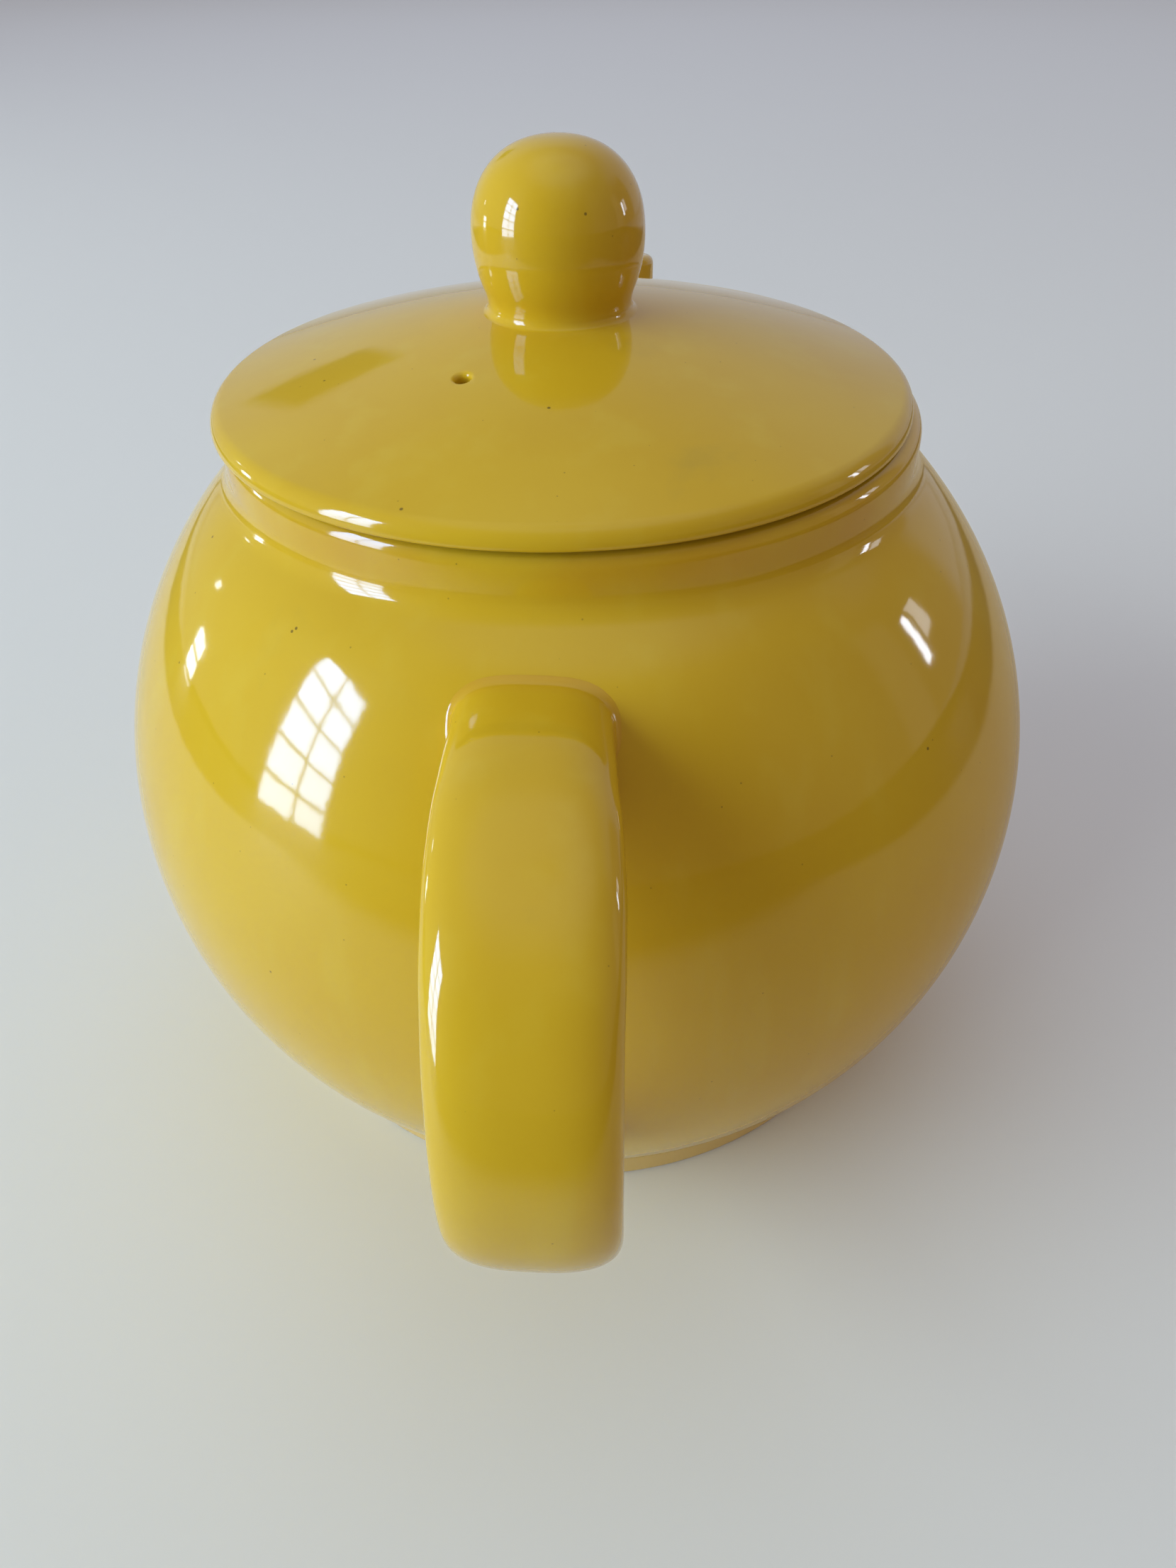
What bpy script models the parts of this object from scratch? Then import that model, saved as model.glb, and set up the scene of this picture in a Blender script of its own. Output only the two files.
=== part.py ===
"""Round glazed ceramic teapot: body, spout, handle, lid and lid knob, each its own solid.

Metres, +Z up. The origin is on the pot's axis, on the surface that it stands on.
+X points to the spout, and the handle is on -X.
"""

from math import acos, cos, pi, radians, sin, sqrt

import bmesh
import bpy
from mathutils import Matrix, Vector

MM = 0.001
GAP = 0.3 * MM                 # hair gap between two pieces that touch
WELD = 0.00002

# Ball of the body: an ellipsoid, a little flatter than it is wide
BODY_RADIUS = 75.0 * MM
BODY_RISE = 72.6 * MM          # centre to the crown it would have without a mouth
BODY_DROP = 73.6 * MM          # centre to the bottom it would have without a foot
BODY_CENTRE = 53.1 * MM
WALL = 4.5 * MM

# Neck, rim and mouth
RIM_HEIGHT = 114.2 * MM
NECK_RADIUS = 51.1 * MM
NECK_FILLET = 4.5 * MM
RIM_ROUND = 2.4 * MM
MOUTH_RADIUS = 45.2 * MM
MOUTH_ROUND = 0.9 * MM

# Foot ring and floor
FOOT_RADIUS = 57.1 * MM
FOOT_WIDTH = 6.0 * MM
FOOT_ROUND = 0.9 * MM
FOOT_RECESS = 3.0 * MM
FLOOR_HEIGHT = 8.5 * MM
FLOOR_FILLET = 9.0 * MM

# Strainer: holes through the wall behind the spout
STRAINER_RADIUS = 2.5 * MM
STRAINER_PITCH = 9.0 * MM
STRAINER_HEIGHT = 60.0 * MM

# Spout: its centre line (x, z) from inside the body to the lip, and its outer radius there
SPOUT_LINE = ((58, 56), (73, 63), (83.5, 74), (90.5, 87), (94, 99), (95.6, 110.5))
SPOUT_RADII = (23.0, 20.5, 16.4, 13.1, 11.1, 10.4)
SPOUT_WALL = 3.4 * MM

# Handle: its centre line (x outwards, z), and its strap section
HANDLE_LINE = (
    (50, 96.2), (60, 95.6), (70, 94.6), (79, 92.4), (88, 87.8), (95.2, 80.6), (99.8, 71.6), (101.3, 62.6),
    (99.6, 54.2), (94.4, 46.8), (86.4, 40.7), (77, 35.6), (66, 31),
)
HANDLE_WIDTH = 20.0 * MM
HANDLE_THICKNESS = 9.0 * MM
HANDLE_SQUARENESS = 2.8        # exponent of the strap section's rounded rectangle
HANDLE_TOP_TAPER = 0.96        # size of the section at its upper end
HANDLE_LOW_TAPER = 0.93        # size of the section at its lower end

# Lid
LID_RADIUS = 50.4 * MM
LID_EDGE_HEIGHT = 0.5 * MM     # where the edge's upper rounding starts, above the seat
LID_EDGE_UNDER_ROUND = 0.5 * MM
LID_EDGE_ROUND = 2.6 * MM      # rounding from the edge onto the dome
LID_TURN = radians(73)         # how far the rounding turns before the dome takes over
LID_SLOPE = 1.5                # exponent of the dome's fall from its crown
LID_THICKNESS = 4.5 * MM
FLANGE_RADIUS = 42.5 * MM
FLANGE_WIDTH = 4.2 * MM
FLANGE_DEPTH = 8.0 * MM
FLANGE_CHAMFER = 1.0 * MM
VENT_RADIUS = 1.1 * MM
VENT_REACH = 23.8 * MM         # from the lid's axis
VENT_AZIMUTH = radians(152)

# Knob: a ball on a short neck
KNOB_RADIUS = 11.8 * MM
KNOB_CENTRE = 136.1 * MM
KNOB_RISE = 11.8 * MM
KNOB_DROP = 14.6 * MM          # semi-axis of the longer lower half
KNOB_SQUARENESS = 2.3          # exponent of the flatter upper half
KNOB_NECK_HEIGHT = 127.4 * MM
KNOB_FOOT_FLARE = 0.9 * MM

BODY_STEPS = 48
LID_STEPS = 48
KNOB_STEPS = 24


# ---------------------------------------------------------------- outlines

def arc(centre, radius, start, end, count):
    """Points of a circular arc, start and end included."""
    cr, cz = centre
    turns = [start + (end - start) * i / (count - 1) for i in range(count)]
    return [(cr + radius * cos(a), cz + radius * sin(a)) for a in turns]


def ball_point(angle, grow):
    """Point of the ball's outline at an angle above its widest line."""
    semi = BODY_RISE if angle > 0 else BODY_DROP
    return ((BODY_RADIUS + grow) * cos(angle), BODY_CENTRE + (semi + grow) * sin(angle))


def ball_normal(angle, grow):
    semi = BODY_RISE if angle > 0 else BODY_DROP
    normal = Vector((cos(angle) / (BODY_RADIUS + grow), sin(angle) / (semi + grow)))
    return normal.normalized()


def solve(test, low, high):
    """Angle between low and high where test changes sign."""
    for _ in range(50):
        middle = (low + high) / 2
        if (test(middle) > 0) == (test(low) > 0):
            low = middle
        else:
            high = middle
    return (low + high) / 2


def neck_fillet(grow):
    """Ball angle where the neck's fillet starts, and the centre of the fillet."""
    radius = NECK_FILLET - grow

    def overshoot(angle):
        point = ball_point(angle, grow)
        return point[0] + radius * ball_normal(angle, grow)[0] - (NECK_RADIUS + grow + radius)

    angle = solve(overshoot, 0.1, 1.3)
    normal = ball_normal(angle, grow)
    point = ball_point(angle, grow)
    return angle, (point[0] + radius * normal[0], point[1] + radius * normal[1]), normal


def neck_and_ball(grow, lowest_angle):
    """Outer outline from the neck down the ball, grown outwards."""
    angle, centre, normal = neck_fillet(grow)
    touch = pi + acos(normal[0])
    outline = arc(centre, NECK_FILLET - grow, pi, touch, 5)
    for i in range(1, 18):
        outline.append(ball_point(angle + (lowest_angle - angle) * i / 17, grow))
    return outline


def foot_angle():
    """Ball angle where the ball meets the foot ring."""
    return -acos(FOOT_RADIUS / BODY_RADIUS)


def floor_fillet():
    """Inner ball angle where the floor's fillet starts, and the centre of the fillet."""
    def height(angle):
        point = ball_point(angle, -WALL)
        return point[1] - FLOOR_FILLET * ball_normal(angle, -WALL)[1] - (FLOOR_HEIGHT + FLOOR_FILLET)

    angle = solve(height, -1.5, 0.0)
    normal = ball_normal(angle, -WALL)
    point = ball_point(angle, -WALL)
    return angle, (point[0] - FLOOR_FILLET * normal[0], FLOOR_HEIGHT + FLOOR_FILLET), normal


def pot_outline():
    """Closed outline of the pot, from the middle of its floor over the rim to its underside."""
    low_angle, floor_centre, low_normal = floor_fillet()
    mouth_angle = acos(MOUTH_RADIUS / (BODY_RADIUS - WALL))
    floor_touch = -acos(low_normal[0])
    outline = [(0.0, FLOOR_HEIGHT), (floor_centre[0] / 2, FLOOR_HEIGHT)]
    outline += arc(floor_centre, FLOOR_FILLET, -pi / 2, floor_touch, 5)
    for i in range(1, 12):
        outline.append(ball_point(low_angle + (mouth_angle - low_angle) * i / 11, -WALL))
    outline += arc((MOUTH_RADIUS + MOUTH_ROUND, RIM_HEIGHT - MOUTH_ROUND), MOUTH_ROUND, pi, pi / 2, 3)
    outline += arc((NECK_RADIUS - RIM_ROUND, RIM_HEIGHT - RIM_ROUND), RIM_ROUND, pi / 2, 0, 4)
    outline += neck_and_ball(0.0, foot_angle())
    outline += arc((FOOT_RADIUS - FOOT_ROUND, FOOT_ROUND), FOOT_ROUND, 0, -pi / 2, 3)
    ring_inside = FOOT_RADIUS - FOOT_WIDTH
    outline += [(ring_inside, 0.0), (ring_inside - FOOT_RECESS / 3, FOOT_RECESS), (0.0, FOOT_RECESS)]
    return outline


def lid_top(radius):
    """Height of the lid's dome at a distance from its axis, out to its rounded edge."""
    shoulder_r = LID_RADIUS - LID_EDGE_ROUND * (1 - cos(LID_TURN))
    shoulder_z = RIM_HEIGHT + GAP + LID_EDGE_HEIGHT + LID_EDGE_ROUND * sin(LID_TURN)
    crown = shoulder_r * cos(LID_TURN) / (sin(LID_TURN) * LID_SLOPE)
    return shoulder_z + crown * (1 - (radius / shoulder_r) ** LID_SLOPE)


def lid_outline():
    """Closed outline of the lid, from its crown over its edge to the middle of its underside."""
    seat = RIM_HEIGHT + GAP
    under = LID_EDGE_UNDER_ROUND
    flange_inside = FLANGE_RADIUS - FLANGE_WIDTH
    edge_centre = (LID_RADIUS - LID_EDGE_ROUND, seat + LID_EDGE_HEIGHT)
    shoulder_r = edge_centre[0] + LID_EDGE_ROUND * cos(LID_TURN)
    reaches = [shoulder_r * sin(pi / 2 * i / 8) for i in range(8)]
    outline = [(reach, lid_top(reach)) for reach in reaches]
    outline += arc(edge_centre, LID_EDGE_ROUND, LID_TURN, 0, 5)
    outline += arc((LID_RADIUS - under, seat + under), under, 0, -pi / 2, 3)[1:]
    flange_low = seat - FLANGE_DEPTH
    outline += [(FLANGE_RADIUS, seat), (FLANGE_RADIUS, flange_low + FLANGE_CHAMFER)]
    outline += [(FLANGE_RADIUS - FLANGE_CHAMFER, flange_low), (flange_inside, flange_low)]
    outline += [
        (flange_inside * (1 - i / 5), lid_top(flange_inside * (1 - i / 5)) - LID_THICKNESS)
        for i in range(6)
    ]
    return outline


def knob_radius_at(height):
    """Radius of the knob's ball at a height."""
    if height > KNOB_CENTRE:
        share = (height - KNOB_CENTRE) / KNOB_RISE
        return KNOB_RADIUS * max(0.0, 1 - share ** KNOB_SQUARENESS) ** (1 / KNOB_SQUARENESS)
    return KNOB_RADIUS * sqrt(1 - ((KNOB_CENTRE - height) / KNOB_DROP) ** 2)


def knob_outline():
    """Closed outline of the knob, from its top to the middle of its foot on the lid."""
    top = KNOB_CENTRE + KNOB_RISE
    outline = [(0.0, top)]
    for i in range(1, 9):
        turn = (i / 8) * (pi / 2)
        height = KNOB_CENTRE + KNOB_RISE * cos(turn)
        outline.append((knob_radius_at(height), height))
    for i in range(1, 5):
        height = KNOB_CENTRE + (KNOB_NECK_HEIGHT - KNOB_CENTRE) * i / 4
        outline.append((knob_radius_at(height), height))
    neck_r, neck_z = outline[-1]
    foot_r = neck_r + KNOB_FOOT_FLARE
    foot_z = lid_top(foot_r) + GAP
    for i in range(1, 4):
        turn = (pi / 2) * i / 3
        outline.append((foot_r - KNOB_FOOT_FLARE * cos(turn), neck_z - (neck_z - foot_z) * sin(turn)))
    outline += [(foot_r * (1 - i / 2), lid_top(foot_r * (1 - i / 2)) + GAP) for i in range(1, 3)]
    return outline


# ---------------------------------------------------------------- building

def clear_scene():
    for obj in list(bpy.data.objects):
        bpy.data.objects.remove(obj, do_unlink=True)


def make_collection(name):
    collection = bpy.data.collections.new(name)
    bpy.context.scene.collection.children.link(collection)
    return collection


def glaze(name, colour, roughness):
    """Glossy glazed-ceramic material."""
    material = bpy.data.materials.new(name)
    material.use_nodes = True
    shader = material.node_tree.nodes["Principled BSDF"]
    shader.inputs["Base Color"].default_value = (*colour, 1.0)
    shader.inputs["Roughness"].default_value = roughness
    shader.inputs["Metallic"].default_value = 0.0
    material.diffuse_color = (*colour, 1.0)
    return material


def link_object(name, data, collection):
    obj = bpy.data.objects.new(name, data)
    collection.objects.link(obj)
    return obj


def turned(name, outline, steps, collection):
    """Solid of revolution about Z from an outline that runs down its outer side."""
    mesh = bpy.data.meshes.new(name)
    edges = [(i, i + 1) for i in range(len(outline) - 1)]
    mesh.from_pydata([(r, 0.0, z) for r, z in outline], edges, [])
    obj = link_object(name, mesh, collection)
    screw = obj.modifiers.new("turn", "SCREW")
    screw.axis = "Z"
    screw.steps = steps
    screw.render_steps = steps
    screw.use_merge_vertices = True
    screw.merge_threshold = WELD
    screw.use_smooth_shade = True
    return obj


def hide_cutter(obj):
    obj.hide_render = True
    obj.display_type = "WIRE"
    return obj


def cut(obj, cutter):
    modifier = obj.modifiers.new("cut_" + cutter.name, "BOOLEAN")
    modifier.operation = "DIFFERENCE"
    modifier.solver = "EXACT"
    modifier.object = cutter


def smooth(obj, angle):
    obj.data.shade_smooth()
    obj.data.set_sharp_from_angle(angle=angle)


def side_curve(name, line, radii, collection):
    """Curve in the XZ plane through the points of a centre line."""
    data = bpy.data.curves.new(name, "CURVE")
    data.dimensions = "3D"
    data.twist_mode = "MINIMUM"
    data.resolution_u = 3
    data.use_fill_caps = True
    spline = data.splines.new("BEZIER")
    spline.bezier_points.add(len(line) - 1)
    for point, (x, z), radius in zip(spline.bezier_points, line, radii):
        point.co = (x, 0.0, z)
        point.handle_left_type = "AUTO"
        point.handle_right_type = "AUTO"
        point.radius = radius
    return link_object(name, data, collection)


def as_mesh(curve, collection):
    """Mesh object of a curve, its caps welded on; the curve is removed."""
    graph = bpy.context.evaluated_depsgraph_get()
    mesh = bpy.data.meshes.new_from_object(curve.evaluated_get(graph))
    shape = bmesh.new()
    shape.from_mesh(mesh)
    bmesh.ops.remove_doubles(shape, verts=shape.verts, dist=WELD)
    bmesh.ops.recalc_face_normals(shape, faces=shape.faces)
    shape.to_mesh(mesh)
    shape.free()
    name = curve.name
    bpy.data.objects.remove(curve, do_unlink=True)
    mesh.name = name
    return link_object(name, mesh, collection)


def tube(name, line, radii, sides, collection):
    """Round tube whose radius changes along its centre line."""
    curve = side_curve(name, line, radii, collection)
    curve.data.bevel_depth = 1.0
    curve.data.bevel_resolution = sides // 2 - 2
    return as_mesh(curve, collection)


def strap_section(name, collection):
    """Rounded-rectangle outline of the handle's strap."""
    data = bpy.data.curves.new(name, "CURVE")
    data.dimensions = "2D"
    spline = data.splines.new("POLY")
    count = 20
    spline.points.add(count - 1)
    spline.use_cyclic_u = True
    power = 2 / HANDLE_SQUARENESS
    for i, point in enumerate(spline.points):
        turn = 2 * pi * (i + 0.5) / count
        across = abs(cos(turn)) ** power * (1 if cos(turn) > 0 else -1)
        through = abs(sin(turn)) ** power * (1 if sin(turn) > 0 else -1)
        point.co = (HANDLE_WIDTH / 2 * across, HANDLE_THICKNESS / 2 * through, 0.0, 1.0)
    return link_object(name, data, collection)


# ---------------------------------------------------------------- sub-parts

def make_strainer_cutter(collection):
    """One hole in the middle and six around it, along X."""
    shape = bmesh.new()
    places = [(0.0, 0.0)]
    places += [(STRAINER_PITCH * cos(i * pi / 3), STRAINER_PITCH * sin(i * pi / 3)) for i in range(6)]
    along_x = Matrix.Rotation(pi / 2, 4, "Y")
    for y, z in places:
        centre = Matrix.Translation((BODY_RADIUS - WALL, y, STRAINER_HEIGHT + z))
        bmesh.ops.create_cone(
            shape, cap_ends=True, segments=10, radius1=STRAINER_RADIUS, radius2=STRAINER_RADIUS,
            depth=8 * WALL, matrix=centre @ along_x,
        )
    mesh = bpy.data.meshes.new("strainer_cutter")
    shape.to_mesh(mesh)
    shape.free()
    return hide_cutter(link_object("strainer_cutter", mesh, collection))


def make_body_clearance(collection):
    """The body's outside, a hair larger, as a cutter for what is stuck to it."""
    outline = [(0.0, RIM_HEIGHT + 2 * WALL), (NECK_RADIUS + GAP, RIM_HEIGHT + 2 * WALL)]
    outline += neck_and_ball(GAP, -pi / 2 + 0.2)
    outline += [(0.0, BODY_CENTRE - BODY_DROP)]
    return hide_cutter(turned("body_clearance", outline, BODY_STEPS, collection))


def make_pot_body(parts, cutters):
    pot = turned("pot_body", pot_outline(), BODY_STEPS, parts)
    cut(pot, make_strainer_cutter(cutters))
    pot.data.materials.append(glaze("body_glaze", (0.64, 0.42, 0.035), 0.08))
    return pot


def make_spout(parts, cutters, clearance):
    line = [(x * MM, z * MM) for x, z in SPOUT_LINE]
    radii = [radius * MM for radius in SPOUT_RADII]
    spout = tube("spout", line, radii, 28, parts)
    past_lip = (line[-1][0] + 1.5 * MM, line[-1][1] + 8 * MM)
    bore_line = line + [past_lip]
    bore_radii = [radius - SPOUT_WALL for radius in radii] + [radii[-1] - SPOUT_WALL]
    bore = hide_cutter(tube("spout_bore_cutter", bore_line, bore_radii, 24, cutters))
    cut(spout, bore)
    cut(spout, clearance)
    smooth(spout, radians(40))
    spout.data.materials.append(glaze("spout_glaze", (0.64, 0.42, 0.035), 0.08))
    return spout


def make_handle(parts, cutters, clearance):
    section = strap_section("strap_section", cutters)
    line = [(-x * MM, z * MM) for x, z in HANDLE_LINE]
    sizes = [HANDLE_TOP_TAPER] * 2 + [1.0] * (len(line) - 4) + [HANDLE_LOW_TAPER] * 2
    curve = side_curve("handle", line, sizes, parts)
    curve.data.bevel_mode = "OBJECT"
    curve.data.bevel_object = section
    handle = as_mesh(curve, parts)
    bpy.data.objects.remove(section, do_unlink=True)
    cut(handle, clearance)
    smooth(handle, radians(40))
    handle.data.materials.append(glaze("handle_glaze", (0.66, 0.44, 0.035), 0.08))
    return handle


def make_lid(parts, cutters):
    lid = turned("lid", lid_outline(), LID_STEPS, parts)
    bpy.ops.mesh.primitive_cylinder_add(
        vertices=16, radius=VENT_RADIUS, depth=4 * LID_THICKNESS,
        location=(
            VENT_REACH * cos(VENT_AZIMUTH), VENT_REACH * sin(VENT_AZIMUTH),
            lid_top(VENT_REACH) - LID_THICKNESS / 2,
        ),
    )
    vent = bpy.context.object
    vent.name = "vent_cutter"
    for collection in list(vent.users_collection):
        collection.objects.unlink(vent)
    cutters.objects.link(vent)
    cut(lid, hide_cutter(vent))
    lid.data.materials.append(glaze("lid_glaze", (0.62, 0.40, 0.035), 0.08))
    return lid


def make_lid_knob(parts):
    knob = turned("lid_knob", knob_outline(), KNOB_STEPS, parts)
    knob.data.materials.append(glaze("knob_glaze", (0.66, 0.45, 0.04), 0.08))
    return knob


def main():
    clear_scene()
    parts = make_collection("teapot")
    cutters = make_collection("cutters")
    clearance = make_body_clearance(cutters)
    make_pot_body(parts, cutters)
    make_spout(parts, cutters, clearance)
    make_handle(parts, cutters, clearance)
    lid = make_lid(parts, cutters)
    knob = make_lid_knob(parts)
    knob.parent = lid


main()
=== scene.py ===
"""Round yellow glazed teapot: the looks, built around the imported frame.

Metres, +Z up, +X to the spout, the handle on -X, in the same frame as the CAD parts.
"""

from math import acos, atan, cos, pi, radians, sin, sqrt, tan

import bmesh
import bpy
import numpy as np
from mathutils import Matrix, Vector
from mathutils.geometry import interpolate_bezier


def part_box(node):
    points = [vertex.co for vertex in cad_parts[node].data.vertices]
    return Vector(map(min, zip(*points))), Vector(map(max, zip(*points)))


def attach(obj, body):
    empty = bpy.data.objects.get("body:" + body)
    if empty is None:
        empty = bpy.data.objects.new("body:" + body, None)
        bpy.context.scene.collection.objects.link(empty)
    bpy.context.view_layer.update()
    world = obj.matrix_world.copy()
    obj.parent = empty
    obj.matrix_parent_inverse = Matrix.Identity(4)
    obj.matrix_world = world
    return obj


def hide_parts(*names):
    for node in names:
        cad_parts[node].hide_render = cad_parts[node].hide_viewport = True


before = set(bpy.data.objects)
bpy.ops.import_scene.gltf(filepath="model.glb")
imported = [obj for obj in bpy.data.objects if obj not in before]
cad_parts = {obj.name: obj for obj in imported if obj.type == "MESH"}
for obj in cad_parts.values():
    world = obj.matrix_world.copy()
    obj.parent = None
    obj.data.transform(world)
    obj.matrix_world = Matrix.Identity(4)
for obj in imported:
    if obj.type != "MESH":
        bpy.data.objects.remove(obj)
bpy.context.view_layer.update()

MM = 0.001
SUNK = 0.05 * MM               # how deep a stuck-on piece's last ring lies in the body's skin
WELD = 0.01 * MM

# Driving dimensions of the pot, read from the frame where it states them
POT_LOW, POT_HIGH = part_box("pot_body")
LID_LOW, LID_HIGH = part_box("lid")
KNOB_LOW, KNOB_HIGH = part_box("lid_knob")
BODY_RADIUS = (POT_HIGH[1] - POT_LOW[1]) / 2
RIM_HEIGHT = POT_HIGH[2]
LID_RADIUS = (LID_HIGH[1] - LID_LOW[1]) / 2
KNOB_RADIUS = (KNOB_HIGH[1] - KNOB_LOW[1]) / 2
KNOB_TOP = KNOB_HIGH[2]

# Ball of the body
BODY_RISE = 72.6 * MM
BODY_DROP = 73.6 * MM
BODY_CENTRE = 53.1 * MM
WALL = 4.5 * MM

# Neck, rim, mouth and foot
NECK_RADIUS = 51.1 * MM
NECK_FILLET = 6.0 * MM
RIM_ROUND = 2.4 * MM
MOUTH_RADIUS = 45.2 * MM
MOUTH_ROUND = 1.4 * MM
FOOT_RADIUS = 57.1 * MM
FOOT_WIDTH = 6.0 * MM
FOOT_ROUND = 1.2 * MM
FOOT_CREASE = 0.7 * MM
FOOT_RECESS = 3.0 * MM
FLOOR_HEIGHT = 8.5 * MM        # of the floor inside the pot
FLOOR_FILLET = 9.0 * MM
RIM_LEAN = radians(2.0)        # the rim is not quite level: higher at the spout
LEAN_FROM = 98.0 * MM          # the body starts to lean at this height
LEAN_FULL = 109.0 * MM         # and leans in full from this one

# Strainer
STRAINER_RADIUS = 2.5 * MM
STRAINER_PITCH = 9.0 * MM
STRAINER_HEIGHT = 60.0 * MM

# Spout: centre line (x, z), and at its knots the outer radius and the sway to one side, in mm
SPOUT_LINE = ((58, 56), (73, 63), (83.5, 74), (90.5, 87), (94, 99), (95.6, 110.5))
SPOUT_RADII = (23.0, 20.5, 16.4, 13.1, 11.1, 10.4)
SPOUT_WALL = 3.4 * MM
SPOUT_FILLET = 3.0 * MM
SPOUT_SWAY = (0.0, 0.0, -0.1, -0.3, -0.7, -1.1)

# Handle: centre line (x outwards, z) in mm, and the strap's section. At each knot the width is
# spread by a factor, and the strap sways to one side by some mm.
HANDLE_LINE = (
    (50, 95.3), (60, 94.8), (70, 94.1), (79, 92.2), (88, 87.8), (95.2, 80.6), (99.8, 71.6),
    (101.3, 62.8), (99.6, 54.6), (94.4, 47.3), (86.4, 41.1), (77, 35.8), (66, 31),
)
HANDLE_WIDTH = 20.0 * MM
HANDLE_THICKNESS = 9.0 * MM
HANDLE_SQUARENESS = 2.7
HANDLE_SPREAD = (0.94, 0.955, 1.0, 1.05, 1.055, 1.03, 1.01, 1.0, 1.0, 0.99, 0.97, 0.93, 0.90)
HANDLE_SWAY = (1.1, 1.0, 0.7, 0.2, -0.25, -0.55, -0.85, -1.0, -1.0, -1.0, -0.9, -0.6, -0.4)
HANDLE_FILLET = 0.9 * MM

# Lid and knob
LID_SHIFT = Vector((-1.6, 1.2, 0.0)) * MM     # the lid lies a little to one side in its seat
LID_EDGE_HEIGHT = 0.5 * MM     # where the edge's upper rounding starts, above the seat
LID_EDGE_UNDER_ROUND = 0.5 * MM
LID_EDGE_ROUND = 2.6 * MM      # rounding from the edge onto the dome
LID_TURN = radians(73)         # how far the rounding turns before the dome takes over
LID_SLOPE = 1.5                # exponent of the dome's fall from its crown
LID_THICKNESS = 4.5 * MM
SEAT_GAP = 0.3 * MM
FLANGE_RADIUS = 42.5 * MM
FLANGE_WIDTH = 4.2 * MM
FLANGE_DEPTH = 8.0 * MM
VENT_RADIUS = 1.0 * MM
VENT_FLARE = 0.7 * MM
VENT_REACH = 23.8 * MM
VENT_AZIMUTH = radians(152)
KNOB_CENTRE = 136.1 * MM
KNOB_DROP = 14.6 * MM
KNOB_SQUARENESS = 2.3
KNOB_NECK_HEIGHT = 129.6 * MM  # where the ball starts to run out into the lid
KNOB_FOOT_RADIUS = 11.3 * MM

TURN_STEPS = 192               # around a turned piece
VENT_STEPS = 48
SECTION_POINTS = 96            # around the spout or the handle
KNOT_STEPS = 24                # from knot to knot of a centre line

# Height over the body up to which glaze is pooled in the corner of a stuck-on piece
SPOUT_POOL = 2.5 * MM
HANDLE_POOL = 1.6 * MM

# Camera: its place and the way it looks, and the lens of a phone's main camera
CAMERA_PLACE = Vector((-169.2, -12.1, 169.7)) * MM
CAMERA_HEADING = radians(3.55)
CAMERA_PITCH = radians(-37.3)
CAMERA_ROLL = radians(0.84)
CAMERA_LENS_MM = 26.0
CAMERA_SENSOR_MM = 36.0


# ---------------------------------------------------------------- outlines

def arc(centre, radius, start, end, count):
    """Points of a circular arc, start and end included."""
    cr, cz = centre
    turns = [start + (end - start) * i / (count - 1) for i in range(count)]
    return [(cr + radius * cos(a), cz + radius * sin(a)) for a in turns]


def ball_point(angle, grow=0.0):
    """Point of the ball's outline at an angle above its widest line."""
    semi = BODY_RISE if angle > 0 else BODY_DROP
    return ((BODY_RADIUS + grow) * cos(angle), BODY_CENTRE + (semi + grow) * sin(angle))


def ball_normal(angle, grow=0.0):
    semi = BODY_RISE if angle > 0 else BODY_DROP
    return Vector((cos(angle) / (BODY_RADIUS + grow), sin(angle) / (semi + grow))).normalized()


def solve(test, low, high):
    """Value between low and high where test changes sign."""
    for _ in range(50):
        middle = (low + high) / 2
        if (test(middle) > 0) == (test(low) > 0):
            low = middle
        else:
            high = middle
    return (low + high) / 2


def fillet_on_ball(reach, target, axis, grow=0.0, low=0.1, high=1.3):
    """Circle that touches the ball, reach being its radius, below 0 for one inside the ball.

    Its centre's r (axis 0) or z (axis 1) is target. Returns the ball's angle at the contact, the
    circle's centre, and the ball's normal there.
    """
    def miss(angle):
        return ball_point(angle, grow)[axis] + reach * ball_normal(angle, grow)[axis] - target

    angle = solve(miss, low, high)
    point = ball_point(angle, grow)
    normal = ball_normal(angle, grow)
    return angle, (point[0] + reach * normal[0], point[1] + reach * normal[1]), normal


def ball_stretch(start, end, count, grow=0.0):
    """Points of the ball's outline between two angles, without the first."""
    return [ball_point(start + (end - start) * i / count, grow) for i in range(1, count + 1)]


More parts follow.
